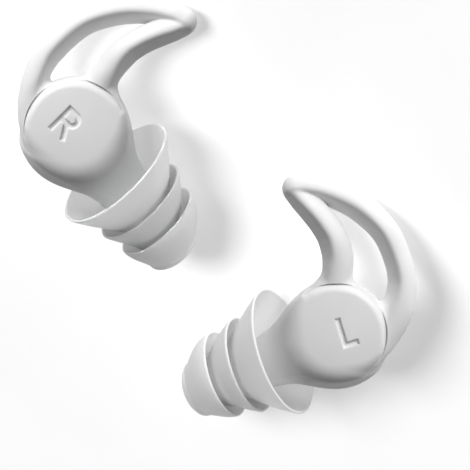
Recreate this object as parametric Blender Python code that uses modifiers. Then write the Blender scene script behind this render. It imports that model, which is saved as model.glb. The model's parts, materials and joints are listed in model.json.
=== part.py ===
"""A pair of winged, triple-flange silicone ear plugs, modelled as separate pieces.

Each plug has its own frame.  Its origin is the middle of the head's face, +Z points
out of the face, +Y points to the wing and +X to the ear tip.  The left plug is the
mirror image of the right one.  Lengths are written in millimetres and scaled by MM.
"""
import math

import bmesh
import bpy
from mathutils import Matrix, Vector

MM = 0.001
COLLECTION = "ear_plugs"

# Head: a round button whose axis is the frame's Z axis
HEAD_RADIUS = 4.85
FACE_FLAT_RADIUS = 3.7
FACE_ROUND_RADIUS = 4.7
CAP_EDGE_DEPTH = 0.85
CAP_PLATE = 0.9
SPIGOT_RADIUS = 3.05
SPIGOT_WALL = 0.65
SPIGOT_DEPTH = 2.25
MOUTH_RADIUS = 3.3
SPINDLE_RADIUS = 3.95
BAND_INNER_RADIUS = 4.2
BAND_TOP = -1.15
BAND_BOTTOM = -3.1
SHOULDER_DEPTH = 3.35
BOWL_SIDE_DEPTH = 3.9
BOWL_DEPTH = 6.3
BOWL_RADIUS = 5.1
BOWL_SHIFT = 0.8
CHAMBER_DEPTH = 5.1

# Stem: a cone that leaves the head sideways and downwards
STEM_DROP = math.radians(25.0)
STEM_TURN = math.radians(-11.0)
STEM_START_DEPTH = 2.6
STEM_SHOULDER_AT = 6.4
STEM_SHOULDER_RADIUS = 3.05
STEM_END_AT = 9.6
STEM_END_RADIUS = 2.45

# Sound tube, which the ear tip is pushed on
TUBE_RADIUS = 1.4
TUBE_BORE = 0.8
TUBE_START_AT = 2.7
TUBE_END_AT = 14.7
TUBE_COLLAR_AT = 4.6
TUBE_COLLAR_LENGTH = 0.8
TUBE_COLLAR_RADIUS = 1.9
TUBE_BARBS_AT = (11.3, 13.2)
TUBE_BARB_RADIUS = 1.52
TUBE_GAP = 0.25
BORE_RADIUS = TUBE_RADIUS + TUBE_GAP

# Filter and screen inside the tube
FILTER_RADIUS = 0.6
FILTER_HEAD_RADIUS = 1.2
FILTER_HEAD = 0.45
FILTER_LENGTH = 2.6
FILTER_ORIFICE = 0.25
SCREEN_AT = 14.2
SCREEN_THICKNESS = 0.25
SCREEN_RADIUS = 0.6

# Ear tip: three cups, open towards the head, on one sleeve
SLEEVE_START_AT = 9.9
SLEEVE_RADIUS = 2.3
CUP_RIMS_AT = (6.7, 10.9, 13.85)
CUP_RADII = (6.45, 4.9, 4.42)
CUP_LENGTHS = (4.6, 3.3, 3.9)
CUP_TAPERS = (1.6, 1.8, 0.9)
RIM_WALL = 0.42
ROOT_WALL = 0.85
NOSE_WALL = 2.3
NOSE_OPENING = 0.9
TUBE_POCKET_END_AT = 15.0
CUP_STEPS = 6

# Wing: two round arms that grow from the band and meet at the tip
ARM_RADIUS = 1.27
ARM_SPACING = 0.9
ARM_SIDES = 12
TIP_POINT = (0.1, 14.85, -2.15)
OUTER_ARM = ((-2.7, -2.9, -2.1), (-4.2, -2.25, -2.1), (-5.55, -1.15, -2.1), (-6.7, 0.6, -2.1),
             (-7.4, 2.9, -2.2), (-7.45, 5.5, -2.3), (-6.85, 8.2, -2.4), (-5.25, 11.0, -2.5),
             (-3.2, 13.1, -2.5), (-1.25, 14.35, -2.3), TIP_POINT)
INNER_ARM = ((-1.15, 4.4, -2.1), (-1.75, 5.7, -2.0), (-2.15, 7.2, -1.9), (-2.15, 8.8, -1.8),
             (-1.8, 10.5, -1.8), (-1.25, 12.1, -1.85), (-0.55, 13.7, -2.0), (-0.2, 14.45, -2.05))

# Side marks, engraved in the caps
MARK_DEPTH = 0.35
MARK_STROKE = 0.62
MARK_HEIGHT = 2.8
MARK_WIDTH = 1.9
MARK_SHIFT = -0.9

# At rest a plug lies on the rim of its large cup and the tip of its wing.
# REST_UP is the table's upward normal in the plug's own frame.
REST_UP = (0.22, -0.402, 0.889)
FACE_HEIGHT = 9.459
PLUGS = {
    "right": {"mirror": 1.0, "place": (14.585, -10.089), "heading": 148.8},
    "left": {"mirror": -1.0, "place": (-14.585, 5.958), "heading": -148.8},
}

SEGMENTS = 40
TIP_SEGMENTS = 32
SMALL_SEGMENTS = 20

COLOURS = {
    "silicone": ((0.80, 0.80, 0.80, 1.0), 0.5, 0.0),
    "tube": ((0.62, 0.64, 0.66, 1.0), 0.35, 0.0),
    "filter": ((0.30, 0.33, 0.36, 1.0), 0.4, 0.0),
    "screen": ((0.55, 0.55, 0.56, 1.0), 0.35, 0.9),
}


def clear_scene():
    for item in list(bpy.data.objects):
        bpy.data.objects.remove(item, do_unlink=True)


def new_collection(name):
    group = bpy.data.collections.new(name)
    bpy.context.scene.collection.children.link(group)
    return group


def make_material(name, finish):
    colour, roughness, metallic = COLOURS[finish]
    material = bpy.data.materials.new(name)
    material.use_nodes = True
    shader = material.node_tree.nodes["Principled BSDF"]
    shader.inputs["Base Color"].default_value = colour
    shader.inputs["Roughness"].default_value = roughness
    shader.inputs["Metallic"].default_value = metallic
    return material


def add_object(name, mesh, group):
    item = bpy.data.objects.new(name, mesh)
    group.objects.link(item)
    return item


def mesh_from(work, name):
    """Close a bmesh, scale it from millimetres to metres and return it as a mesh."""
    bmesh.ops.recalc_face_normals(work, faces=work.faces)
    bmesh.ops.scale(work, vec=(MM, MM, MM), verts=work.verts)
    mesh = bpy.data.meshes.new(name)
    work.to_mesh(mesh)
    work.free()
    return mesh


def turned_mesh(name, profile, segments):
    """Turn a closed (radius, height) outline about Z with a Screw modifier."""
    work = bmesh.new()
    points = [work.verts.new((radius * MM, 0.0, height * MM)) for radius, height in profile]
    for start, end in zip(points, points[1:] + points[:1]):
        if start.co.x > 0.0 or end.co.x > 0.0:
            work.edges.new((start, end))
    mesh = bpy.data.meshes.new(name)
    work.to_mesh(mesh)
    work.free()
    item = bpy.data.objects.new(name, mesh)
    bpy.context.scene.collection.objects.link(item)
    screw = item.modifiers.new("turn", "SCREW")
    screw.steps = segments
    screw.render_steps = segments
    screw.use_merge_vertices = True
    screw.merge_threshold = 0.00001
    view = bpy.context.evaluated_depsgraph_get()
    view.update()
    turned = bpy.data.meshes.new_from_object(item.evaluated_get(view))
    bpy.data.objects.remove(item, do_unlink=True)
    work = bmesh.new()
    work.from_mesh(turned)
    bmesh.ops.remove_doubles(work, verts=work.verts, dist=0.000001)
    bmesh.ops.recalc_face_normals(work, faces=work.faces)
    work.to_mesh(turned)
    work.free()
    turned.name = name
    return turned


def ring_points(centre, axis, radius, segments):
    """Points of a circle about an axis, all circles starting from the same side."""
    axis = Vector(axis).normalized()
    side = axis.cross(Vector((0.0, 1.0, 0.0))).normalized()
    other = axis.cross(side)
    points = []
    for step in range(segments):
        angle = 2.0 * math.pi * step / segments
        points.append(Vector(centre) + radius * (math.cos(angle) * side + math.sin(angle) * other))
    return points


def stem_axis():
    flat = math.cos(STEM_DROP)
    return Vector((flat * math.cos(STEM_TURN), flat * math.sin(STEM_TURN), -math.sin(STEM_DROP)))


def stem_point(distance):
    return Vector((0.0, 0.0, -STEM_START_DEPTH)) + stem_axis() * distance


def stem_matrix():
    """Frame of the stem: its Z axis runs from the head to the nose."""
    turn = stem_axis().to_track_quat("Z", "Y").to_matrix().to_4x4()
    return Matrix.Translation(stem_point(0.0) * MM) @ turn


def cut(item, cutter, group, operation="DIFFERENCE"):
    """Add a Boolean with a hidden guide object."""
    for owner in list(cutter.users_collection):
        owner.objects.unlink(cutter)
    group.objects.link(cutter)
    cutter.hide_render = True
    cutter.display_type = "WIRE"
    boolean = item.modifiers.new(cutter.name, "BOOLEAN")
    boolean.object = cutter
    boolean.operation = operation
    boolean.solver = "EXACT"
    return cutter


def body_hull(name):
    """Head bowl and conical stem as one convex skin, as if stretched over both."""
    work = bmesh.new()
    down = (0.0, 0.0, -1.0)
    rings = [ring_points((0.0, 0.0, -SHOULDER_DEPTH), down, HEAD_RADIUS, SEGMENTS)]
    bowl_height = BOWL_DEPTH - BOWL_SIDE_DEPTH
    for step in range(4):
        angle = math.radians(22.0 * step)
        level = -(BOWL_SIDE_DEPTH + bowl_height * math.sin(angle))
        radius = BOWL_RADIUS * math.cos(angle) ** 0.8
        rings.append(ring_points((0.0, -BOWL_SHIFT, level), down, radius, SEGMENTS))
    rings.append(ring_points(stem_point(STEM_SHOULDER_AT), stem_axis(), STEM_SHOULDER_RADIUS, SEGMENTS))
    rings.append(ring_points(stem_point(STEM_END_AT), stem_axis(), STEM_END_RADIUS, SEGMENTS))
    for ring in rings:
        for point in ring:
            work.verts.new(point)
    hull = bmesh.ops.convex_hull(work, input=work.verts)
    inside = [part for part in hull["geom_interior"] if isinstance(part, bmesh.types.BMVert)]
    bmesh.ops.delete(work, geom=inside, context="VERTS")
    return mesh_from(work, name)


def add_body(side, group, guides):
    item = add_object(f"{side}_body", body_hull(f"{side}_body"), group)
    spindle_top = BAND_TOP + 0.1
    spindle = [(SPINDLE_RADIUS, spindle_top), (SPINDLE_RADIUS, -SHOULDER_DEPTH - 1.0),
               (MOUTH_RADIUS, -SHOULDER_DEPTH - 1.0), (MOUTH_RADIUS, spindle_top)]
    rim = add_object(f"{side}_spindle_guide", turned_mesh("spindle", spindle, SEGMENTS), guides)
    cut(item, rim, guides, "UNION")
    channel = [(HEAD_RADIUS + 0.3, 0.0), (HEAD_RADIUS + 0.3, -SHOULDER_DEPTH),
               (SPINDLE_RADIUS, -SHOULDER_DEPTH), (SPINDLE_RADIUS, 0.0)]
    track = add_object(f"{side}_band_channel_guide", turned_mesh("band_channel", channel, SEGMENTS), guides)
    cut(item, track, guides)
    chamber = [(0.0, 0.0), (MOUTH_RADIUS, 0.0), (MOUTH_RADIUS, -CHAMBER_DEPTH), (0.0, -CHAMBER_DEPTH)]
    hollow = add_object(f"{side}_chamber_guide", turned_mesh("chamber", chamber, SEGMENTS), guides)
    cut(item, hollow, guides)
    groove = TUBE_COLLAR_RADIUS + TUBE_GAP
    groove_start = TUBE_COLLAR_AT - TUBE_GAP
    groove_end = TUBE_COLLAR_AT + TUBE_COLLAR_LENGTH + TUBE_GAP
    bore = [(0.0, STEM_END_AT + 1.0), (BORE_RADIUS, STEM_END_AT + 1.0), (BORE_RADIUS, groove_end),
            (groove, groove_end), (groove, groove_start), (BORE_RADIUS, groove_start),
            (BORE_RADIUS, 1.5), (0.0, 1.5)]
    passage = add_object(f"{side}_bore_guide", turned_mesh("bore", bore, SMALL_SEGMENTS), guides)
    passage.matrix_world = stem_matrix()
    cut(item, passage, guides)
    return item


def add_cap(side, mirror, group, guides):
    """Domed plate with a tubular spigot and an engraved side mark."""
    edge = []
    for step in range(6):
        angle = math.radians(18.0 * step)
        radius = FACE_FLAT_RADIUS + (FACE_ROUND_RADIUS - FACE_FLAT_RADIUS) * math.sin(angle)
        edge.append((radius, -CAP_EDGE_DEPTH * (1.0 - math.cos(angle))))
    profile = [(0.0, 0.0)] + edge
    profile += [(SPIGOT_RADIUS, -CAP_PLATE), (SPIGOT_RADIUS, -SPIGOT_DEPTH),
                (SPIGOT_RADIUS - SPIGOT_WALL, -SPIGOT_DEPTH), (SPIGOT_RADIUS - SPIGOT_WALL, -CAP_PLATE),
                (0.0, -CAP_PLATE)]
    item = add_object(f"{side}_face_cap", turned_mesh(f"{side}_face_cap", profile, SEGMENTS), group)
    for number, stroke in enumerate(mark_strokes(side)):
        cutter = add_object(f"{side}_mark_guide_{number}", stroke_prism(stroke), guides)
        cutter.scale.x = mirror
        cut(item, cutter, guides)
    return item


def mark_strokes(side):
    """Centre lines of the plain side mark, an R or an L."""
    middle = MARK_SHIFT if side == "right" else -MARK_SHIFT
    left = middle - MARK_WIDTH / 2.0
    right = middle + MARK_WIDTH / 2.0
    top = MARK_HEIGHT / 2.0
    if side == "left":
        return [[(left, top), (left, -top), (right, -top)]]
    bowl = MARK_HEIGHT * 0.25
    round_part = []
    for step in range(9):
        angle = math.radians(90.0 - 22.5 * step)
        round_part.append((right - bowl + bowl * math.cos(angle), top - bowl + bowl * math.sin(angle)))
    return [[(left, -top), (left, top)], [(left, top)] + round_part + [(left, top - 2.0 * bowl)],
            [(left + 0.9, top - 2.0 * bowl), (right, -top)]]


def stroke_prism(line):
    """A closed block that follows an open line at the width of the stroke."""
    half = MARK_STROKE / 2.0
    points = [Vector(point) for point in line]
    first = (points[0] - points[1]).normalized() * half
    last = (points[-1] - points[-2]).normalized() * half
    points[0] = points[0] + first
    points[-1] = points[-1] + last
    left_side = []
    right_side = []
    for number, point in enumerate(points):
        before = points[max(number - 1, 0)]
        after = points[min(number + 1, len(points) - 1)]
        incoming = (point - before).normalized() if number else (after - point).normalized()
        outgoing = (after - point).normalized() if number < len(points) - 1 else incoming
        normal = Vector((-(incoming + outgoing).y, (incoming + outgoing).x)).normalized()
        reach = half / max(normal.dot(Vector((-incoming.y, incoming.x))), 0.5)
        left_side.append(point + normal * reach)
        right_side.append(point - normal * reach)
    outline = left_side + right_side[::-1]
    work = bmesh.new()
    corners = [work.verts.new((point.x, point.y, -MARK_DEPTH)) for point in outline]
    floor = work.faces.new(corners)
    grown = bmesh.ops.extrude_face_region(work, geom=[floor])
    raised = [part for part in grown["geom"] if isinstance(part, bmesh.types.BMVert)]
    bmesh.ops.translate(work, vec=(0.0, 0.0, MARK_DEPTH + 0.5), verts=raised)
    return mesh_from(work, "mark_stroke")


def tube_mesh(name, points, radii):
    """A closed round rod through points, with a radius at each."""
    curve = bpy.data.curves.new(name, "CURVE")
    curve.dimensions = "3D"
    curve.bevel_depth = MM
    curve.bevel_resolution = ARM_SIDES // 2 - 2
    curve.use_fill_caps = True
    curve.twist_mode = "MINIMUM"
    spline = curve.splines.new("POLY")
    spline.points.add(len(points) - 1)
    for target, point, radius in zip(spline.points, points, radii):
        target.co = (*(Vector(point) * MM), 1.0)
        target.radius = radius
    item = bpy.data.objects.new(name, curve)
    bpy.context.scene.collection.objects.link(item)
    view = bpy.context.evaluated_depsgraph_get()
    view.update()
    mesh = bpy.data.meshes.new_from_object(item.evaluated_get(view))
    bpy.data.objects.remove(item, do_unlink=True)
    work = bmesh.new()
    work.from_mesh(mesh)
    bmesh.ops.remove_doubles(work, verts=work.verts, dist=0.000001)
    bmesh.ops.recalc_face_normals(work, faces=work.faces)
    work.to_mesh(mesh)
    work.free()
    mesh.name = name
    return mesh


def smooth_line(points, spacing):
    """Evenly spaced points of a Catmull-Rom curve through the given points."""
    line = [Vector(point) for point in points]
    line = [line[0] * 2.0 - line[1]] + line + [line[-1] * 2.0 - line[-2]]
    dense = []
    for number in range(1, len(line) - 2):
        p0, p1, p2, p3 = line[number - 1:number + 3]
        for step in range(10):
            t = step / 10.0
            dense.append(0.5 * (2.0 * p1 + (p2 - p0) * t + (2.0 * p0 - 5.0 * p1 + 4.0 * p2 - p3) * t ** 2
                                + (3.0 * p1 - p0 - 3.0 * p2 + p3) * t ** 3))
    dense.append(line[-2])
    kept = [dense[0]]
    travelled = 0.0
    for before, after in zip(dense, dense[1:]):
        travelled += (after - before).length
        if travelled >= spacing:
            kept.append(after)
            travelled = 0.0
    if (kept[-1] - dense[-1]).length > spacing * 0.3:
        kept.append(dense[-1])
    return kept


def add_wing(side, group, guides):
    """Band with two arms: the origin is on the head's axis, about which the wing turns."""
    arms = []
    for label, route in (("outer", OUTER_ARM), ("inner", INNER_ARM)):
        line = smooth_line(route, ARM_SPACING)
        radii = [ARM_RADIUS] * len(line)
        if label == "outer":
            ahead = (line[-1] - line[-2]).normalized()
            middle = line[-1]
            for angle in (30.0, 55.0, 75.0):
                line.append(middle + ahead * ARM_RADIUS * math.sin(math.radians(angle)))
                radii.append(ARM_RADIUS * math.cos(math.radians(angle)))
        else:
            radii[-3:] = [ARM_RADIUS * 0.95, ARM_RADIUS * 0.85, ARM_RADIUS * 0.7]
        arms.append(tube_mesh(f"{side}_{label}_arm", line, radii))
    item = add_object(f"{side}_wing", arms[0], group)
    inner = add_object(f"{side}_inner_arm_guide", arms[1], guides)
    cut(item, inner, guides, "UNION")
    middle_radius = 0.5 * (HEAD_RADIUS + BAND_INNER_RADIUS)
    clearance = [(0.0, 1.0), (HEAD_RADIUS + 0.15, 1.0), (HEAD_RADIUS + 0.15, BAND_TOP - 0.1),
                 (middle_radius, BAND_TOP - 0.1), (middle_radius, BAND_BOTTOM + 0.1),
                 (HEAD_RADIUS + 0.45, BAND_BOTTOM + 0.1), (HEAD_RADIUS + 0.45, -6.0), (0.0, -6.0)]
    seat = add_object(f"{side}_wing_seat_guide", turned_mesh("wing_seat", clearance, SEGMENTS), guides)
    seat.rotation_euler.z = math.pi / SEGMENTS
    cut(item, seat, guides)
    profile = [(HEAD_RADIUS, BAND_TOP), (HEAD_RADIUS, BAND_BOTTOM),
               (BAND_INNER_RADIUS, BAND_BOTTOM), (BAND_INNER_RADIUS, BAND_TOP)]
    band = add_object(f"{side}_wing_band_guide", turned_mesh("wing_band", profile, SEGMENTS), guides)
    cut(item, band, guides, "UNION")
    weld = item.modifiers.new("weld", "WELD")
    weld.merge_threshold = 0.03 * MM
    return item


def quarter(radius, neck, rim_at, length, taper, steps):
    """Points of a rounded cup wall from its rim towards its root."""
    points = []
    for step in range(steps + 1):
        angle = 0.5 * math.pi * step / steps
        points.append((neck + (radius - neck) * math.cos(angle) ** taper,
                       rim_at + length * math.sin(angle)))
    return points


def tip_profile():
    """Section of the ear tip as (radius, distance along the stem), nose first."""
    large_at, middle_at, small_at = CUP_RIMS_AT
    large_radius, middle_radius, small_radius = CUP_RADII
    large_length, middle_length, nose_length = CUP_LENGTHS
    large_taper, middle_taper, nose_taper = CUP_TAPERS
    neck = SLEEVE_RADIUS - 0.2
    outline = quarter(small_radius, NOSE_OPENING, small_at, nose_length, nose_taper, CUP_STEPS + 2)[::-1]
    outline += quarter(small_radius - RIM_WALL, neck, small_at, nose_length - NOSE_WALL, nose_taper, 4)
    outline += quarter(middle_radius, neck, middle_at, middle_length, middle_taper, CUP_STEPS)[::-1]
    outline += quarter(middle_radius - RIM_WALL, neck, middle_at, middle_length - ROOT_WALL, middle_taper, 5)
    outline += quarter(large_radius, neck, large_at, large_length, large_taper, CUP_STEPS)[::-1]
    outline += quarter(large_radius - RIM_WALL, SLEEVE_RADIUS, large_at, large_length - ROOT_WALL, large_taper, 5)
    outline += [(SLEEVE_RADIUS, SLEEVE_START_AT), (BORE_RADIUS, SLEEVE_START_AT),
                (BORE_RADIUS, TUBE_POCKET_END_AT), (NOSE_OPENING, TUBE_POCKET_END_AT)]
    return outline


def add_ear_tip(side, group):
    item = add_object(f"{side}_ear_tip", turned_mesh(f"{side}_ear_tip", tip_profile(), TIP_SEGMENTS), group)
    item.matrix_world = stem_matrix()
    return item


def add_sound_tube(side, group):
    profile = [(TUBE_BORE, TUBE_END_AT), (TUBE_RADIUS, TUBE_END_AT)]
    for barb_at in reversed(TUBE_BARBS_AT):
        profile += [(TUBE_RADIUS, barb_at + 0.7), (TUBE_BARB_RADIUS, barb_at), (TUBE_RADIUS, barb_at - 0.1)]
    collar_end = TUBE_COLLAR_AT + TUBE_COLLAR_LENGTH
    profile += [(TUBE_RADIUS, collar_end), (TUBE_COLLAR_RADIUS, collar_end),
                (TUBE_COLLAR_RADIUS, TUBE_COLLAR_AT), (TUBE_RADIUS, TUBE_COLLAR_AT),
                (TUBE_RADIUS, TUBE_START_AT), (TUBE_BORE, TUBE_START_AT)]
    item = add_object(f"{side}_sound_tube", turned_mesh(f"{side}_sound_tube", profile, SMALL_SEGMENTS), group)
    item.matrix_world = stem_matrix()
    return item


def add_filter(side, group):
    head_end = TUBE_START_AT - 0.15
    head_start = head_end - FILTER_HEAD
    profile = [(FILTER_ORIFICE, head_end + FILTER_LENGTH), (FILTER_RADIUS, head_end + FILTER_LENGTH),
               (FILTER_RADIUS, head_end), (FILTER_HEAD_RADIUS, head_end),
               (FILTER_HEAD_RADIUS, head_start), (FILTER_ORIFICE, head_start)]
    item = add_object(f"{side}_sound_filter", turned_mesh(f"{side}_sound_filter", profile, SMALL_SEGMENTS), group)
    item.matrix_world = stem_matrix()
    return item


def add_screen(side, group):
    profile = [(0.0, SCREEN_AT + SCREEN_THICKNESS), (SCREEN_RADIUS, SCREEN_AT + SCREEN_THICKNESS),
               (SCREEN_RADIUS, SCREEN_AT), (0.0, SCREEN_AT)]
    item = add_object(f"{side}_nose_screen", turned_mesh(f"{side}_nose_screen", profile, SMALL_SEGMENTS), group)
    item.matrix_world = stem_matrix()
    return item


def plug_matrix(spec):
    """Frame of a plug that lies on the table: mirrored, leaned to its rest, turned, moved."""
    mirror = Matrix.Diagonal((spec["mirror"], 1.0, 1.0, 1.0))
    up = mirror.to_3x3() @ Vector(REST_UP).normalized()
    lean = up.rotation_difference(Vector((0.0, 0.0, 1.0))).to_matrix().to_4x4()
    heading = Matrix.Rotation(math.radians(spec["heading"]), 4, "Z")
    place = Vector((*spec["place"], FACE_HEIGHT)) * MM
    return Matrix.Translation(place) @ heading @ lean @ mirror


def place_plug(side, spec, pieces, group):
    """Hang a plug's pieces and guides on an empty in the plug's frame."""
    frame = bpy.data.objects.new(f"{side}_plug_frame", None)
    group.objects.link(frame)
    frame.matrix_world = plug_matrix(spec)
    for item in pieces:
        item.parent = frame


def main():
    clear_scene()
    parts = new_collection(COLLECTION)
    guides = new_collection(f"{COLLECTION}_guides")
    guides.hide_render = True
    for side, spec in PLUGS.items():
        before = set(guides.objects)
        finishes = {
            add_body(side, parts, guides): "silicone",
            add_cap(side, spec["mirror"], parts, guides): "silicone",
            add_wing(side, parts, guides): "silicone",
            add_ear_tip(side, parts): "silicone",
            add_sound_tube(side, parts): "tube",
            add_filter(side, parts): "filter",
            add_screen(side, parts): "screen",
        }
        for item, finish in finishes.items():
            item.data.materials.append(make_material(f"{item.name}_material", finish))
            item.data.shade_smooth()
            item.data.set_sharp_from_angle(angle=math.radians(35.0))
        new_guides = [item for item in guides.objects if item not in before]
        place_plug(side, spec, list(finishes) + new_guides, parts)


main()
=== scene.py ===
"""Looks for a pair of winged ear plugs in satin white silicone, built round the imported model.

Shapes are written in millimetres in each plug's own frame: the origin is the middle of
the head's face, +Z points out of the face, +Y to the wing and +X to the ear tip.  The
left plug is the right one mirrored in X.  The body, cover and wing are level sets of
smooth solids, and the ear tip is a turned profile.  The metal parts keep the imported
model's own shapes.
"""
import json
import math

import bmesh
import bpy
import numpy as np
from mathutils import Matrix, Vector


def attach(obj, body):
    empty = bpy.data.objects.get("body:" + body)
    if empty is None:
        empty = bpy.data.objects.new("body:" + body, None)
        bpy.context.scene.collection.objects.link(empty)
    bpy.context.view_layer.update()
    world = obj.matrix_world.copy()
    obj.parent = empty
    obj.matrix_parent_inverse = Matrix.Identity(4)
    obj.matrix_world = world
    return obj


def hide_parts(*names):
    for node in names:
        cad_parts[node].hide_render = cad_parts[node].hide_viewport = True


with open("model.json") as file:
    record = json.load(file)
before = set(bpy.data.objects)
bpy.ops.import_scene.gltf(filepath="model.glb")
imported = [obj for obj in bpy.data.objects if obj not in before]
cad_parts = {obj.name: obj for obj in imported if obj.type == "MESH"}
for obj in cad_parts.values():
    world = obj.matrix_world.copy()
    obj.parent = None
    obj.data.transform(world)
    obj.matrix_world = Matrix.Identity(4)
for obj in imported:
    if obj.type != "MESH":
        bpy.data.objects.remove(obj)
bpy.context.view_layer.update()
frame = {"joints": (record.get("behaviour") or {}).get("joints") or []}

MM = 0.001
REST_LEVEL = 0.00001    # metres; soft silicone lies flat where it rests on the table

# Head: an upright barrel with its face cut off, and a bowl below it
HEAD_RADIUS = 4.88
HEAD_ROUND = 0.85
HEAD_BASE = -4.4
HEAD_TOP = 2.0
DOME = 0.012
FACE_EDGE = 4.5
FACE_EDGE_WIDER = 3.0       # how much further out the chamfer lies on the soft side
CRISP_EDGE = 0.28
SOFT_EDGE = 1.9
SOFT_SIDE = (0.8, -0.6)
SOFT_FROM = -0.6
SOFT_OVER = 1.3
CHAMFER = (0.8, 0.6)
BOWL_CENTRE = (0.3, -0.95, -4.0)
BOWL_RADII = (4.95, 4.95, 2.3)
BOWL_BLEND = 1.1

# Stem
STEM_DROP = math.radians(25.0)
STEM_TURN = math.radians(-11.0)
STEM_START = (0.0, 0.0, -2.6)
STEM_SHOULDER_AT = 6.4
STEM_SHOULDER_RADIUS = 3.05
STEM_TAPER = 0.19
STEM_END_AT = 9.6
STEM_END_ROUND = 0.6
STEM_BLEND = 2.2

# Ring channel between cap and body
RING_INNER = 4.2
RING_TOP = -1.15
RING_BOTTOM = -3.1
SEAM = 0.02
CAP_LIMIT = 4.88            # the cap's side stays this round wherever the wing turns past it
CAP_LIMIT_ROUND = 0.15
CAP_LIMIT_FROM = -0.3
CAP_LIMIT_OVER = 0.5
CAP_LIMIT_WIDER = 2.0
CAP_LIMIT_BELOW = 1.4
CAP_CLEARANCE = 4.96
CAP_CLEARANCE_BORE = 0.5
CAP_CLEARANCE_TOP = 1.0
CAP_FOOT = 0.25

# Wing arms
ARM_BLEND = 1.3
ARM_BLEND_AT_FACE = 0.12
ARM_BLEND_FROM = 0.75
ARM_BLEND_OVER = 0.6
ARM_FACET = (0.80, 0.60)
ARM_FACET_ROUND = 0.32
ARM_SPACING = 0.12
CREASE = 0.2
OUTER_ARM = ((-2.5, -2.6, -2.1), (-3.9, -2.0, -2.1), (-5.15, -0.95, -2.1), (-6.35, 0.7, -2.1),
             (-7.15, 2.95, -2.2), (-7.3, 5.5, -2.3), (-6.85, 8.2, -2.4), (-5.25, 11.0, -2.5),
             (-3.2, 13.05, -2.5), (-1.45, 14.2, -2.3), (-0.3, 14.6, -2.2))
INNER_ARM = ((-1.15, 4.4, -2.1), (-1.75, 5.7, -2.0), (-2.15, 7.2, -1.9), (-2.15, 8.8, -1.8),
             (-1.75, 10.5, -1.8), (-1.15, 12.0, -1.85), (-0.5, 13.3, -2.0), (-0.2, 14.0, -2.05))

# Ear tip: three cups on one sleeve
CUP_RIMS_AT = (6.7, 10.9, 13.85)
CUP_RADII = (6.45, 4.9, 4.42)
CUP_LENGTHS = (6.4, 4.3, 3.25)
CUP_SWELL = 0.22
NOSE_SWELL = 0.32
NOSE_END_RADIUS = 2.75
NOSE_CORNER = 1.1
NOSE_WALL = 1.9
RIM_WALL = 0.27
ROOT_WALL = 0.5
RIM_LEAN = (0.075, 0.11, 0.14)
TIP_SHIFT = 0.38
TIP_LEAN = 0.04
LEAN_FROM = 1.9
LEAN_OVER = 2.2
NOSE_OPENING = 0.9
SLEEVE_START_AT = 9.9
SLEEVE_RADIUS = 2.3
BORE_RADIUS = 1.65
POCKET_END_AT = 15.0

# How far each wing is bent: sideways, and wider at the outer arm
WING_FLEX = {"right": (0.35, 0.05), "left": (0.0, -0.3)}
FLEX_OVER = 2.5
FLEX_OUTER_FROM = 1.5
FLEX_OUTER_OVER = 4.5

# Side mark
MARK_DEPTH = 0.3
MARK_EDGE = 0.08
MARK_STROKE = 0.5
MARK_HEIGHT = 2.5
MARK_WIDTH = {"R": 1.5, "L": 1.1}
MARK_SHIFT = -1.1

# Meshing grids.  Odd steps keep grid planes off the planes that the solids are cut with.
HEAD_STEP = 0.147
CAP_STEP = 0.08
WING_STEP = 0.137
FIELD_CHUNK = 200000
ARM_CHUNK = 20000
RING_SEGMENTS = 256
TIP_SEGMENTS = 144


# ---------------------------------------------------------------- smooth solids

def smooth_min(a, b, k):
    """Smaller of two distances with a fillet about k wide."""
    h = np.maximum(k - np.abs(a - b), 0.0) / k
    return np.minimum(a, b) - 0.25 * k * h * h


def smooth_max(a, b, k):
    """Larger of two distances with a round about k wide."""
    return -smooth_min(-a, -b, k)


def ease(t):
    """Smooth step from 0 to 1."""
    t = np.clip(t, 0.0, 1.0)
    return t * t * (3.0 - 2.0 * t)


def towards_soft_side(p):
    """Distance from the head's axis, and how far round a point lies towards the soft side."""
    rho = np.hypot(p[:, 0], p[:, 1])
    return rho, (p[:, 0] * SOFT_SIDE[0] + p[:, 1] * SOFT_SIDE[1]) / np.maximum(rho, 1.0)


def stem_direction():
    level = math.cos(STEM_DROP)
    return np.array((level * math.cos(STEM_TURN), level * math.sin(STEM_TURN),
                     -math.sin(STEM_DROP)))


def barrel(p):
    """Upright round block with rounded ends; the face is cut from it later."""
    rho = np.hypot(p[:, 0], p[:, 1])
    half = 0.5 * (HEAD_TOP - HEAD_BASE)
    out = rho - (HEAD_RADIUS - HEAD_ROUND)
    up = np.abs(p[:, 2] - 0.5 * (HEAD_TOP + HEAD_BASE)) - (half - HEAD_ROUND)
    outside = np.hypot(np.maximum(out, 0.0), np.maximum(up, 0.0))
    return np.minimum(np.maximum(out, up), 0.0) + outside - HEAD_ROUND


def face_cut(p, solid):
    """Cuts the domed face: crisp and chamfered towards the wing, soft towards the stem."""
    rho, lean = towards_soft_side(p)
    z = p[:, 2] + DOME * rho ** 2
    soft = ease((lean - SOFT_FROM) / SOFT_OVER)
    chamfer = CHAMFER[0] * (rho - FACE_EDGE - FACE_EDGE_WIDER * soft) + CHAMFER[1] * z
    solid = smooth_max(solid, chamfer, CRISP_EDGE)
    return smooth_max(solid, z, CRISP_EDGE + (SOFT_EDGE - CRISP_EDGE) * soft)


def bowl(p):
    """Flattened ball under the barrel."""
    q = (p - np.array(BOWL_CENTRE)) / np.array(BOWL_RADII)
    k0 = np.linalg.norm(q, axis=1) + 1e-9
    k1 = np.linalg.norm(q / np.array(BOWL_RADII), axis=1) + 1e-9
    return k0 * (k0 - 1.0) / k1


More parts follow.
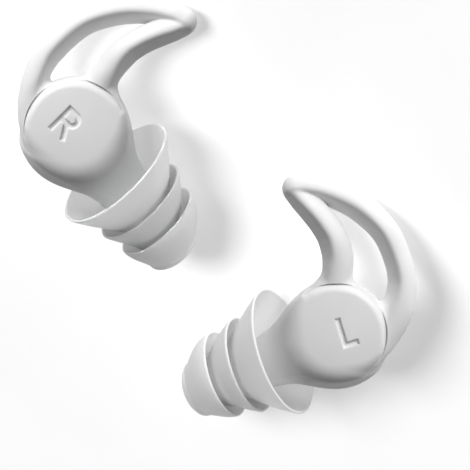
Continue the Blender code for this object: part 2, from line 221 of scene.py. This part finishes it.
def stem(p):
    """Tapered stem that leaves the head towards the ear tip."""
    axis = stem_direction()
    q = p - np.array(STEM_START)
    along = q @ axis
    rho = np.linalg.norm(q - along[:, None] * axis, axis=1)
    outside = rho - STEM_SHOULDER_RADIUS - (STEM_SHOULDER_AT - along) * STEM_TAPER
    side = outside / math.hypot(1.0, STEM_TAPER)
    ends = np.maximum(along - STEM_END_AT, -along)
    return smooth_max(side, ends, STEM_END_ROUND)


def round_limit(p):
    """Keeps the cap's side round wherever the wing can turn past it."""
    rho, lean = towards_soft_side(p)
    wider = CAP_LIMIT_WIDER * ease((lean - CAP_LIMIT_FROM) / CAP_LIMIT_OVER)
    below = np.maximum(RING_TOP - 0.1 - p[:, 2], 0.0)
    return 0.8 * (rho - CAP_LIMIT - wider - CAP_LIMIT_BELOW * below)


def head(p):
    """Barrel, bowl and stem in one, with the face cut."""
    whole = smooth_min(barrel(p), bowl(p), BOWL_BLEND)
    whole = smooth_min(whole, stem(p), STEM_BLEND)
    whole = smooth_max(whole, round_limit(p), CAP_LIMIT_ROUND)
    return face_cut(p, whole)


def smooth_line(points, spacing):
    """Catmull-Rom curve through the points, as evenly spaced samples."""
    p = np.array([points[0]] + list(points) + [points[-1]], float)
    p[0] = 2.0 * p[1] - p[2]
    p[-1] = 2.0 * p[-2] - p[-3]
    dense = []
    t = np.linspace(0.0, 1.0, 40, endpoint=False)[:, None]
    for i in range(1, len(p) - 2):
        a, b, c, d = p[i - 1:i + 3]
        square = 2.0 * a - 5.0 * b + 4.0 * c - d
        cube = 3.0 * b - a - 3.0 * c + d
        dense.append(0.5 * (2.0 * b + (c - a) * t + square * t ** 2 + cube * t ** 3))
    line = np.vstack(dense + [p[-2:-1]])
    lengths = np.linalg.norm(np.diff(line, axis=0), axis=1)
    travelled = np.concatenate(([0.0], np.cumsum(lengths)))
    count = max(2, int(travelled[-1] / spacing))
    at = np.linspace(0.0, travelled[-1], count)
    return np.column_stack([np.interp(at, travelled, line[:, k]) for k in range(3)])


class Arm:
    """Round arm along a curve, with a flatter flank on one side.

    The radii and the flank's distances are given as (place along the arm, size) pairs.
    """

    def __init__(self, route, radii, flank):
        self.line = smooth_line(route, ARM_SPACING)
        count = len(self.line)
        self.tangent = np.gradient(self.line, axis=0)
        self.tangent /= np.linalg.norm(self.tangent, axis=1)[:, None]
        self.side = np.cross(self.tangent, (0.0, 0.0, 1.0))
        self.side /= np.linalg.norm(self.side, axis=1)[:, None]
        self.up = np.cross(self.side, self.tangent)
        at = np.linspace(0.0, 1.0, count)
        self.radius = np.interp(at, *zip(*radii))
        self.flank = np.interp(at, *zip(*flank))

    def nearest(self, p):
        """Number of the curve's sample nearest to each point."""
        best = np.empty(len(p), int)
        square = (self.line ** 2).sum(1)
        for start in range(0, len(p), ARM_CHUNK):
            part = p[start:start + ARM_CHUNK]
            distance = square[None, :] - 2.0 * part @ self.line.T
            best[start:start + ARM_CHUNK] = np.argmin(distance, axis=1)
        return best

    def __call__(self, p):
        i = self.nearest(p)
        q = p - self.line[i]
        along = (q * self.tangent[i]).sum(1)
        before_start = np.where(i == 0, np.maximum(-along, 0.0), 0.0)
        beyond = np.where(i == len(self.line) - 1, np.maximum(along, 0.0), before_start)
        u = (q * self.side[i]).sum(1)
        w = (q * self.up[i]).sum(1)
        round_part = np.sqrt(u * u + w * w + beyond * beyond) - self.radius[i]
        flank = ARM_FACET[0] * u + ARM_FACET[1] * w - self.flank[i]
        return smooth_max(round_part, flank, ARM_FACET_ROUND)


outer_arm = Arm(OUTER_ARM, ((0.0, 1.3), (0.3, 1.43), (0.7, 1.5), (1.0, 1.38)),
                ((0.0, 1.7), (0.2, 1.3), (0.35, 0.88), (1.0, 0.84)))
inner_arm = Arm(INNER_ARM, ((0.0, 1.45), (0.4, 1.5), (0.8, 1.42), (1.0, 1.25)),
                ((0.0, 1.9), (0.25, 1.3), (0.5, 0.9), (1.0, 0.85)))


def arms(p):
    return smooth_min(outer_arm(p), inner_arm(p), CREASE)


def wing(p):
    """Arms and head, with a fillet between them that grows from the face's edge downwards."""
    depth = np.clip((-p[:, 2] - ARM_BLEND_FROM) / ARM_BLEND_OVER, 0.0, 1.0)
    blend = ARM_BLEND_AT_FACE + (ARM_BLEND - ARM_BLEND_AT_FACE) * depth
    return smooth_min(head(p), arms(p), blend)


# ---------------------------------------------------------------- meshing

def field_on(field, points):
    """Field values, worked out in pieces to keep memory small."""
    values = np.empty(len(points))
    for start in range(0, len(points), FIELD_CHUNK):
        values[start:start + FIELD_CHUNK] = field(points[start:start + FIELD_CHUNK])
    return values


def settle(field, points, rounds=3, probe=0.01):
    """Moves points onto the zero level of a field, and gives the normals there."""
    normal = None
    for _ in range(rounds):
        value = field(points)
        slope = np.empty_like(points)
        for k in range(3):
            step = np.zeros(3)
            step[k] = probe
            slope[:, k] = (field(points + step) - field(points - step)) / (2.0 * probe)
        size = np.maximum((slope ** 2).sum(1), 1e-6)
        points = points - np.clip(value / size, -0.2, 0.2)[:, None] * slope
        normal = slope / np.sqrt(size)[:, None]
    return points, normal


def level_set(field, low, high, step):
    """Vertices, quads and normals of the zero level.

    There is one vertex in each grid cell that the surface crosses, and one quad round
    each grid edge that it crosses.
    """
    axes = [np.arange(low[k], high[k] + step, step) for k in range(3)]
    shape = tuple(len(a) for a in axes)
    grid = np.stack(np.meshgrid(*axes, indexing="ij"), axis=-1).reshape(-1, 3)
    value = field_on(field, grid).reshape(shape)
    inside = value < 0.0
    cells = tuple(n - 1 for n in shape)
    total = np.zeros(cells + (3,))
    count = np.zeros(cells)
    quads = []
    crossings = []
    for k in range(3):
        a = [slice(None)] * 3
        b = [slice(None)] * 3
        a[k] = slice(0, -1)
        b[k] = slice(1, None)
        where = np.argwhere(inside[tuple(a)] != inside[tuple(b)])
        v0 = value[tuple(a)][tuple(where.T)]
        v1 = value[tuple(b)][tuple(where.T)]
        point = np.column_stack([axes[m][where[:, m]] for m in range(3)])
        point[:, k] += step * v0 / (v0 - v1)
        m, n = (k + 1) % 3, (k + 2) % 3
        for dm in (0, -1):
            for dn in (0, -1):
                cell = where.copy()
                cell[:, m] += dm
                cell[:, n] += dn
                fine = np.all((cell >= 0) & (cell < np.array(cells)), axis=1)
                np.add.at(total, tuple(cell[fine].T), point[fine])
                np.add.at(count, tuple(cell[fine].T), 1.0)
        crossings.append((k, where, v0 < 0.0))
    number = -np.ones(cells, int)
    used = count > 0
    number[used] = np.arange(used.sum())
    vertices = total[used] / count[used][:, None]
    for k, where, outward in crossings:
        m, n = (k + 1) % 3, (k + 2) % 3
        fine = (where[:, m] > 0) & (where[:, m] < cells[m])
        fine &= (where[:, n] > 0) & (where[:, n] < cells[n])
        where, outward = where[fine], outward[fine]
        corner = []
        for dm, dn in ((0, 0), (-1, 0), (-1, -1), (0, -1)):
            cell = where.copy()
            cell[:, m] += dm
            cell[:, n] += dn
            corner.append(number[tuple(cell.T)])
        quad = np.column_stack(corner)
        quad[~outward] = quad[~outward][:, ::-1]
        quads.append(quad)
    vertices, normals = settle(field, vertices)
    return vertices, np.vstack(quads), normals


def mesh_of(name, vertices, faces):
    mesh = bpy.data.meshes.new(name)
    corners = [tuple(int(i) for i in face) for face in faces]
    mesh.from_pydata([tuple(v) for v in vertices], [], corners)
    mesh.update()
    return mesh


def turned(name, profile, segments):
    """Closed ring mesh from a loop of (radius, height) points."""
    angles = 2.0 * math.pi * np.arange(segments) / segments
    vertices = []
    for radius, height in profile:
        vertices += [(radius * math.cos(a), radius * math.sin(a), height) for a in angles]
    faces = []
    for i in range(len(profile)):
        this, following = i * segments, (i + 1) % len(profile) * segments
        for s in range(segments):
            t = (s + 1) % segments
            faces.append((this + s, this + t, following + t, following + s))
    mesh = mesh_of(name, vertices, faces)
    face_outwards(mesh)
    return mesh


def points_of(mesh):
    return np.array([v.co[:] for v in mesh.vertices])


def move_points(mesh, points):
    for vertex, place in zip(mesh.vertices, points):
        vertex.co = place


def face_outwards(mesh):
    """Turns every face of a closed mesh outwards."""
    work = bmesh.new()
    work.from_mesh(mesh)
    bmesh.ops.recalc_face_normals(work, faces=work.faces)
    if work.calc_volume(signed=True) < 0.0:
        bmesh.ops.reverse_faces(work, faces=work.faces)
    work.to_mesh(mesh)
    work.free()


def cut_flat(mesh, height, keep_above):
    """Cuts a closed mesh with a level plane and closes it again."""
    work = bmesh.new()
    work.from_mesh(mesh)
    parts = work.verts[:] + work.edges[:] + work.faces[:]
    bmesh.ops.bisect_plane(work, geom=parts, dist=1e-5,
                           plane_co=(0.0, 0.0, height), plane_no=(0.0, 0.0, 1.0),
                           clear_outer=not keep_above, clear_inner=keep_above)
    bmesh.ops.holes_fill(work, edges=[e for e in work.edges if e.is_boundary], sides=0)
    bmesh.ops.triangulate(work, faces=[f for f in work.faces if len(f.verts) > 4])
    work.to_mesh(mesh)
    work.free()


def combine(mesh, other, operation):
    """Boolean of two meshes, as a new mesh."""
    first = bpy.data.objects.new("first", mesh)
    second = bpy.data.objects.new("second", other)
    for item in (first, second):
        bpy.context.scene.collection.objects.link(item)
    change = first.modifiers.new("change", "BOOLEAN")
    change.object = second
    change.operation = operation
    change.solver = "EXACT"
    graph = bpy.context.evaluated_depsgraph_get()
    result = bpy.data.meshes.new_from_object(first.evaluated_get(graph))
    for item in (first, second):
        bpy.data.objects.remove(item)
    return result


def clean_cut(mesh):
    """Merges the slivers that a cut leaves and closes any pinhole."""
    work = bmesh.new()
    work.from_mesh(mesh)
    bmesh.ops.remove_doubles(work, verts=work.verts, dist=0.002)
    bmesh.ops.dissolve_degenerate(work, edges=work.edges, dist=0.0005)
    bmesh.ops.holes_fill(work, edges=[e for e in work.edges if e.is_boundary], sides=0)
    work.to_mesh(mesh)
    work.free()


# ---------------------------------------------------------------- pieces

def arc(centre, radius, start, end, count):
    angles = np.radians(np.linspace(start, end, count))
    return [(centre[0] + radius * math.cos(a), centre[1] + radius * math.sin(a)) for a in angles]


def mark_strokes(letter):
    """Centre lines of a plain block letter: square-ended bars, then a rounded line."""
    w, h = 0.5 * MARK_WIDTH[letter], 0.5 * MARK_HEIGHT
    if letter == "L":
        return [((-w, h), (-w, -h)), ((-w, -h), (w, -h))], []
    bend = 0.25 * MARK_HEIGHT
    waist = h - 2.0 * bend
    loop = arc((w - bend, h - bend), bend, 90.0, -90.0, 17)
    bars = [((-w, -h), (-w, h)), ((-w, h), (w - bend, h)),
            ((-w, waist), (w - bend, waist)), ((0.0, waist), (w, -h))]
    return bars, list(zip(loop[:-1], loop[1:]))


def mark_field(letter, mirror):
    """Distance to the mark's strokes, seen from above the face."""
    bars, loop = mark_strokes(letter)

    def field(p):
        x = (p[:, 0] - MARK_SHIFT) * mirror
        y = p[:, 1]
        best = np.full(len(p), 1e9)
        for square, group in ((True, bars), (False, loop)):
            for (ax, ay), (bx, by) in group:
                length = math.hypot(bx - ax, by - ay)
                dx, dy = (bx - ax) / length, (by - ay) / length
                along = (x - ax) * dx + (y - ay) * dy
                across = np.abs((x - ax) * dy - (y - ay) * dx)
                past = np.maximum(np.abs(along - 0.5 * length) - 0.5 * length, 0.0)
                near = np.maximum(past, across) if square else np.hypot(past, across)
                best = np.minimum(best, near)
        return best - 0.5 * MARK_STROKE

    return field


def cap_field(letter, mirror):
    """The head with the side mark cut into its face."""
    mark = mark_field(letter, mirror)

    def field(p):
        floor_at = -MARK_DEPTH - p[:, 2] - DOME * (p[:, 0] ** 2 + p[:, 1] ** 2)
        groove = smooth_max(mark(p), floor_at, MARK_EDGE)
        return smooth_max(head(p), -groove, MARK_EDGE)

    return field


def cup_wall(radius, end, rim_at, length, steps, swell=CUP_SWELL):
    """Nearly straight cone from the rim inwards, swollen a little in the middle."""
    return [(radius + (end - radius) * t + swell * 4.0 * t * (1.0 - t), rim_at + length * t)
            for t in np.linspace(0.0, 1.0, steps + 1)]


def rim(radius, rim_at):
    """Rounded edge of a cup."""
    return arc((radius - 0.5 * RIM_WALL, rim_at), 0.5 * RIM_WALL, 0.0, -180.0, 7)[1:-1]


def tip_profile():
    """Section of the ear tip as (radius, place along the stem), nose first."""
    neck = SLEEVE_RADIUS - 0.2
    large_at, middle_at, small_at = CUP_RIMS_AT
    large, middle, small = CUP_RADII
    large_long, middle_long, nose_long = CUP_LENGTHS
    nose = cup_wall(small, NOSE_END_RADIUS, small_at, nose_long, 20, NOSE_SWELL)
    corner_at = (NOSE_END_RADIUS - 0.8 * NOSE_CORNER,
                 small_at + nose_long - 0.6 * NOSE_CORNER + 0.35)
    corner = arc(corner_at, NOSE_CORNER, 30.0, 88.0, 9)
    front = corner_at[1] + NOSE_CORNER + 0.05
    outline = [(NOSE_OPENING, front - 0.12), (NOSE_OPENING + 0.12, front)]
    outline += corner[::-1] + nose[::-1]
    outline += rim(small, small_at)
    outline += cup_wall(small - RIM_WALL, neck, small_at, nose_long - NOSE_WALL + 0.4, 10)
    outline += cup_wall(middle, neck, middle_at, middle_long, 18)[::-1]
    outline += rim(middle, middle_at)
    outline += cup_wall(middle - RIM_WALL, neck, middle_at, middle_long - 3.0 * ROOT_WALL, 12)
    outline += cup_wall(large, neck, large_at, large_long, 22)[::-1]
    outline += rim(large, large_at)
    outline += cup_wall(large - RIM_WALL, SLEEVE_RADIUS, large_at, large_long - 2.0 * ROOT_WALL, 14)
    outline += [(SLEEVE_RADIUS, SLEEVE_START_AT + 0.15), (SLEEVE_RADIUS - 0.15, SLEEVE_START_AT),
                (BORE_RADIUS + 0.1, SLEEVE_START_AT), (BORE_RADIUS, SLEEVE_START_AT + 0.1),
                (BORE_RADIUS, POCKET_END_AT), (NOSE_OPENING, POCKET_END_AT)]
    return outline


def lean_cups(mesh):
    """Soft flanges settle a little off square: leans their rims but not the sleeve."""
    turn = stem_matrix().to_3x3().inverted()
    rims = np.array(turn @ Vector(RIM_LEAN))
    sideways = np.array(turn @ Vector((0.0, 1.0, 0.0)))
    points = points_of(mesh)
    share = ease((np.hypot(points[:, 0], points[:, 1]) - LEAN_FROM) / LEAN_OVER)
    across = points[:, :2] @ rims[:2]
    size = np.linalg.norm(rims[:2])
    shorten = (1.0 - math.cos(math.atan(size))) / size ** 2
    points[:, 2] -= across * share
    points[:, :2] -= (shorten * across * share)[:, None] * rims[:2]
    sway = TIP_SHIFT + TIP_LEAN * (points[:, 2] - CUP_RIMS_AT[0])
    points[:, :2] += (sway * share)[:, None] * sideways[:2]
    move_points(mesh, points)


def flex_wing(mesh, shift, widen):
    """Soft arms rest a little differently: moves them sideways and widens the loop."""
    points = points_of(mesh)
    outer = np.clip((-points[:, 0] - FLEX_OUTER_FROM) / FLEX_OUTER_OVER, 0.0, 1.0)
    points[:, 0] += (shift + widen * outer) * ease(head(points) / FLEX_OVER)
    move_points(mesh, points)


def stem_matrix():
    """Places something turned about +Z on the stem's axis."""
    axis = Vector(stem_direction())
    turn = Vector((0.0, 0.0, 1.0)).rotation_difference(axis).to_matrix().to_4x4()
    return Matrix.Translation(STEM_START) @ turn


def square_ring(name, inner, outer, start, end):
    """Flat ring with a rectangular section between two levels, used to cut with."""
    return turned(name, [(inner, start), (outer, start), (outer, end), (inner, end)],
                  RING_SEGMENTS)


def local_pieces():
    """Meshes that both plugs share, in the right plug's frame.

    The body is the head below the cap's plane, with a channel for the wing's ring.  The
    wing is the arms and head in one, less the head itself and the cap's clearance, so
    that only the ring in the channel and the arms are left.
    """
    vertices, quads, normals = level_set(head, (-6.6, -7.2, -8.2), (11.6, 6.0, 0.4), HEAD_STEP)
    body = mesh_of("body", vertices, quads)
    cut_flat(body, RING_TOP, keep_above=False)
    channel = square_ring("channel", RING_INNER - SEAM, HEAD_RADIUS + SEAM,
                          RING_TOP + 1.0, RING_BOTTOM - SEAM)
    body = combine(body, channel, "DIFFERENCE")

    swollen = mesh_of("swollen", vertices + normals * SEAM, quads)
    above = square_ring("above", CAP_CLEARANCE_BORE, CAP_CLEARANCE,
                        RING_TOP + 0.003, CAP_CLEARANCE_TOP)
    slab = square_ring("slab", RING_INNER, HEAD_RADIUS + 3.0 * SEAM, RING_TOP, RING_BOTTOM)
    hollow = combine(combine(swollen, above, "UNION"), slab, "DIFFERENCE")
    vertices, quads, _ = level_set(wing, (-9.2, -5.4, -4.7), (5.3, 16.6, 0.4), WING_STEP)
    wing_mesh = combine(mesh_of("wing", vertices, quads), hollow, "DIFFERENCE")
    clean_cut(wing_mesh)

    tip = turned("tip", tip_profile(), TIP_SEGMENTS)
    lean_cups(tip)
    tip.transform(stem_matrix())
    return {"body": body, "wing": wing_mesh, "ear_tip": tip}


def side_wing(mesh, side):
    mesh = mesh.copy()
    flex_wing(mesh, *WING_FLEX[side])
    return mesh


def cap_mesh(letter, mirror):
    """Cover with the side mark: the head above the cap's plane."""
    field = cap_field(letter, mirror)

    def slice_field(p):
        return np.maximum(field(p), RING_TOP - CAP_FOOT - p[:, 2])

    vertices, quads, _ = level_set(slice_field, (-5.3, -5.3, RING_TOP - 0.4), (5.6, 5.3, 0.3),
                                   CAP_STEP)
    mesh = mesh_of("cap", vertices, quads)
    cut_flat(mesh, RING_TOP + SEAM, keep_above=True)
    return mesh


# ---------------------------------------------------------------- materials

def new_material(name):
    """Node material, with its tree and its shader."""
    material = bpy.data.materials.new(name)
    material.use_nodes = True
    tree = material.node_tree
    shader = next(n for n in tree.nodes if n.type == "BSDF_PRINCIPLED")
    return material, tree, shader


def noise(tree, scale, detail, rough=0.5):
    """Noise in the object's own metres."""
    place = tree.nodes.new("ShaderNodeTexCoord")
    node = tree.nodes.new("ShaderNodeTexNoise")
    node.inputs["Scale"].default_value = scale
    node.inputs["Detail"].default_value = detail
    node.inputs["Roughness"].default_value = rough
    tree.links.new(place.outputs["Object"], node.inputs["Vector"])
    return node.outputs["Fac"]


def ramp(tree, value, stops):
    """Colour from a value, by (place, colour) stops."""
    node = tree.nodes.new("ShaderNodeValToRGB")
    while len(node.color_ramp.elements) < len(stops):
        node.color_ramp.elements.new(0.5)
    for element, (at, colour) in zip(node.color_ramp.elements, stops):
        element.position = at
        element.color = (*colour, 1.0)
    tree.links.new(value, node.inputs["Fac"])
    return node.outputs["Color"]


def spread(tree, value, low, high):
    """Stretches the middle of a noise over a range."""
    node = tree.nodes.new("ShaderNodeMapRange")
    node.inputs["From Min"].default_value = 0.3
    node.inputs["From Max"].default_value = 0.7
    node.inputs["To Min"].default_value = low
    node.inputs["To Max"].default_value = high
    tree.links.new(value, node.inputs["Value"])
    return node.outputs["Result"]


def bump(tree, shader, value, strength, distance):
    node = tree.nodes.new("ShaderNodeBump")
    node.inputs["Strength"].default_value = strength
    node.inputs["Distance"].default_value = distance
    tree.links.new(value, node.inputs["Height"])
    tree.links.new(node.outputs["Normal"], shader.inputs["Normal"])


def silicone(name, light, dark, rough, glow, depth):
    """Satin moulded silicone: faint clouds in the colour and a fine eroded-mould grain."""
    material, tree, shader = new_material(name)
    clouds = noise(tree, 260.0, 3.0)
    tree.links.new(ramp(tree, clouds, ((0.3, dark), (0.7, light))), shader.inputs["Base Color"])
    patches = noise(tree, 900.0, 4.0)
    tree.links.new(spread(tree, patches, rough - 0.05, rough + 0.05), shader.inputs["Roughness"])
    grain = noise(tree, 9000.0, 2.0, 0.6)
    bump(tree, shader, grain, 0.25, 0.000012)
    shader.inputs["Subsurface Weight"].default_value = glow
    shader.inputs["Subsurface Radius"].default_value = (1.0, 0.97, 0.95)
    shader.inputs["Subsurface Scale"].default_value = depth
    shader.inputs["Specular IOR Level"].default_value = 0.35
    return material


def metal(name, light, dark, rough, grain_scale):
    """Bare metal with a fine uneven grain."""
    material, tree, shader = new_material(name)
    grain = noise(tree, grain_scale, 5.0, 0.7)
    tree.links.new(ramp(tree, grain, ((0.3, dark), (0.7, light))), shader.inputs["Base Color"])
    tree.links.new(spread(tree, grain, rough - 0.08, rough + 0.1), shader.inputs["Roughness"])
    bump(tree, shader, grain, 0.2, 0.00001)
    shader.inputs["Metallic"].default_value = 1.0
    return material


def mesh_material():
    """Fine woven screen: bright wires, with painted shade, near black, in the round openings
    between them.
    """
    material, tree, shader = new_material("woven_screen")
    place = tree.nodes.new("ShaderNodeTexCoord")
    cells = tree.nodes.new("ShaderNodeTexVoronoi")
    cells.inputs["Scale"].default_value = 7000.0
    cells.inputs["Randomness"].default_value = 0.15
    tree.links.new(place.outputs["Object"], cells.inputs["Vector"])
    # Painted shade: the round openings are coloured near black for the shade seen through the
    # holes, and the wires are bright.
    wires_and_painted_shade = ramp(tree, cells.outputs["Distance"], ((0.32, (0.02,) * 3), (0.42, (0.6,) * 3)))
    tree.links.new(wires_and_painted_shade, shader.inputs["Base Color"])
    bump(tree, shader, cells.outputs["Distance"], 0.6, 0.00003)
    shader.inputs["Metallic"].default_value = 0.9
    shader.inputs["Roughness"].default_value = 0.4
    return material


# ---------------------------------------------------------------- assembly

def joint(name):
    """A packed joint's entry in the frame."""
    return next(j for j in frame["joints"] if j["name"] == name)


def plug_matrix(side, mirror):
    """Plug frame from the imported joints: the wing's hinge and the ear tip's slide."""
    hinge = joint(f"{side}_wing_turn")
    up = Vector(hinge["axis"]).normalized()
    pull = Vector(joint(f"{side}_tip_pull")["axis"])
    level = (pull - up * pull.dot(up)).normalized()
    across = up.cross(level) * mirror
    x = level * math.cos(STEM_TURN) - across * math.sin(STEM_TURN)
    y = level * math.sin(STEM_TURN) + across * math.cos(STEM_TURN)
    basis = Matrix((x, y, up)).transposed().to_4x4()
    return Matrix.Translation(Vector(hinge["pos_m"])) @ basis @ Matrix.Diagonal((MM, MM, MM, 1.0))


def add_piece(name, mesh, matrix, material, crisp_angle):
    """Object with a smooth-shaded copy of the mesh, placed in the world."""
    mesh = mesh.copy()
    mesh.name = name
    mesh.transform(matrix)
    if matrix.determinant() < 0.0:
        mesh.flip_normals()
    for vertex in mesh.vertices:
        vertex.co.z = max(vertex.co.z, REST_LEVEL)
    mesh.shade_smooth()
    mesh.set_sharp_from_angle(angle=math.radians(crisp_angle))
    mesh.materials.clear()
    mesh.materials.append(material)
    item = bpy.data.objects.new(name, mesh)
    bpy.context.scene.collection.objects.link(item)
    return item


shell = silicone("white_silicone", (0.80, 0.80, 0.80), (0.765, 0.765, 0.77), 0.5, 0.12, 0.0005)
thin_shell = silicone("white_silicone_thin", (0.82, 0.82, 0.82), (0.785, 0.785, 0.79),
                      0.46, 0.6, 0.0015)
turned_metal = metal("bare_aluminium", (0.80, 0.81, 0.82), (0.66, 0.67, 0.69), 0.32, 5200.0)
screen = mesh_material()

# Skin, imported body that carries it, angle above which an edge stays crisp, and material
SKINS = (("body", "plug", 50.0, shell), ("face_cap", "plug", 50.0, shell),
         ("wing", "wing_body", 50.0, shell), ("ear_tip", "tip_body", 60.0, thin_shell))
METAL_PARTS = (("sound_tube", turned_metal), ("sound_filter", turned_metal),
               ("nose_screen", screen))

# Collections that the lights are linked to: each whole plug, and each ear tip
shared = local_pieces()
linked = {}
tips = {}
for side, mirror, letter in (("right", 1.0, "R"), ("left", -1.0, "L")):
    matrix = plug_matrix(side, mirror)
    meshes = dict(shared, wing=side_wing(shared["wing"], side), face_cap=cap_mesh(letter, mirror))
    linked[side] = bpy.data.collections.new(f"{side}_lit")
    for part, body, crisp, material in SKINS:
        item = add_piece(f"{side}_{part}_skin", meshes[part], matrix, material, crisp)
        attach(item, f"{side}_{body}")
        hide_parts(f"{side}_{part}")
        linked[side].objects.link(item)
        if part == "ear_tip":
            tips[side] = bpy.data.collections.new(f"{side}_tip_lit")
            tips[side].objects.link(item)
    for part, material in METAL_PARTS:
        node = bpy.data.objects[f"{side}_{part}"]
        node.data.materials.clear()
        node.data.materials.append(material)
        linked[side].objects.link(node)

# ---------------------------------------------------------------- stage, light, camera

FLOOR_SIZE = 1.6
FLOOR_LEVEL = -0.00002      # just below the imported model, so that the two never share a plane
floor_mesh = bpy.data.meshes.new("floor")
work = bmesh.new()
bmesh.ops.create_grid(work, x_segments=8, y_segments=8, size=0.5 * FLOOR_SIZE)
work.to_mesh(floor_mesh)
work.free()
floor = bpy.data.objects.new("floor", floor_mesh)
floor.location.z = FLOOR_LEVEL
bpy.context.scene.collection.objects.link(floor)
floor_material, tree, shader = new_material("pale_table")
paleness = ramp(tree, noise(tree, 60.0, 2.0), ((0.3, (0.88,) * 3), (0.7, (0.91,) * 3)))
tree.links.new(paleness, shader.inputs["Base Color"])
shader.inputs["Roughness"].default_value = 0.8
floor_mesh.materials.append(floor_material)
floor_lit = bpy.data.collections.new("floor_lit")
floor_lit.objects.link(floor)

# The camera looks at the pair from above with a long lens, rolled so that the wings are up
VIEW_UP = math.radians(54.0)
VIEW_ROLL = math.radians(-166.1)
VIEW_DISTANCE = 0.6
VIEW_WIDTH = 0.04563
AIM = Vector((-0.002685, -0.000254, 0.006))

back = Vector((0.0, -math.cos(VIEW_UP), math.sin(VIEW_UP)))
level_right = Vector((1.0, 0.0, 0.0))
level_up = back.cross(level_right)
right = level_right * math.cos(VIEW_ROLL) + level_up * math.sin(VIEW_ROLL)
up = back.cross(right)
camera_data = bpy.data.cameras.new("camera")
camera_data.sensor_width = 36.0
camera_data.lens = 36.0 * VIEW_DISTANCE / VIEW_WIDTH
camera_data.clip_start = 0.01
camera_data.clip_end = 10.0
camera = bpy.data.objects.new("camera", camera_data)
camera_turn = Matrix((right, up, back)).transposed().to_4x4()
camera.matrix_world = Matrix.Translation(AIM + back * VIEW_DISTANCE) @ camera_turn
bpy.context.scene.collection.objects.link(camera)
bpy.context.scene.camera = camera


def add_sun(name, towards, strength, spread_angle, receivers):
    """Soft light from far away that falls only on the objects in one collection."""
    data = bpy.data.lights.new(name, "SUN")
    data.energy = strength
    data.angle = math.radians(spread_angle)
    lamp = bpy.data.objects.new(name, data)
    lamp.rotation_mode = "QUATERNION"
    lamp.rotation_quaternion = towards.to_track_quat("Z", "Y")
    bpy.context.scene.collection.objects.link(lamp)
    lamp.light_linking.receiver_collection = receivers
    return lamp


def seen(x, y, z):
    """Direction given as right, up and towards the camera."""
    return right * x + up * y + back * z


# The two plugs are lit as mirror images of each other, and the table is lit on its own
for side, strength, key, fill in (
        ("right", 2.95, seen(-0.37, 0.62, 0.69), seen(0.5, -0.45, 0.74)),
        ("left", 2.6, seen(0.38, 0.55, 0.74), seen(-0.5, -0.45, 0.74))):
    add_sun(f"{side}_key", key, strength, 26.0, linked[side])
    add_sun(f"{side}_front", seen(0.0, 0.0, 1.0), 0.5, 30.0, linked[side])
    add_sun(f"{side}_tip_fill", fill, 0.95, 40.0, tips[side])
    glow = add_sun(f"{side}_tip_glow", seen(0.0, 0.0, 1.0), 0.35, 10.0, tips[side])
    glow.data.use_shadow = False
add_sun("table_light", Vector((0.53, -0.41, 0.742)), 2.25, 24.0, floor_lit)
table_fill = add_sun("table_fill", Vector((0.0, 0.0, 1.0)), 1.55, 10.0, floor_lit)
table_fill.data.use_shadow = False

world = bpy.data.worlds.new("studio")
world.use_nodes = True
world.node_tree.nodes["Background"].inputs["Color"].default_value = (1.0, 1.0, 1.0, 1.0)
world.node_tree.nodes["Background"].inputs["Strength"].default_value = 0.06
bpy.context.scene.world = world
bpy.context.scene.view_settings.view_transform = "Standard"
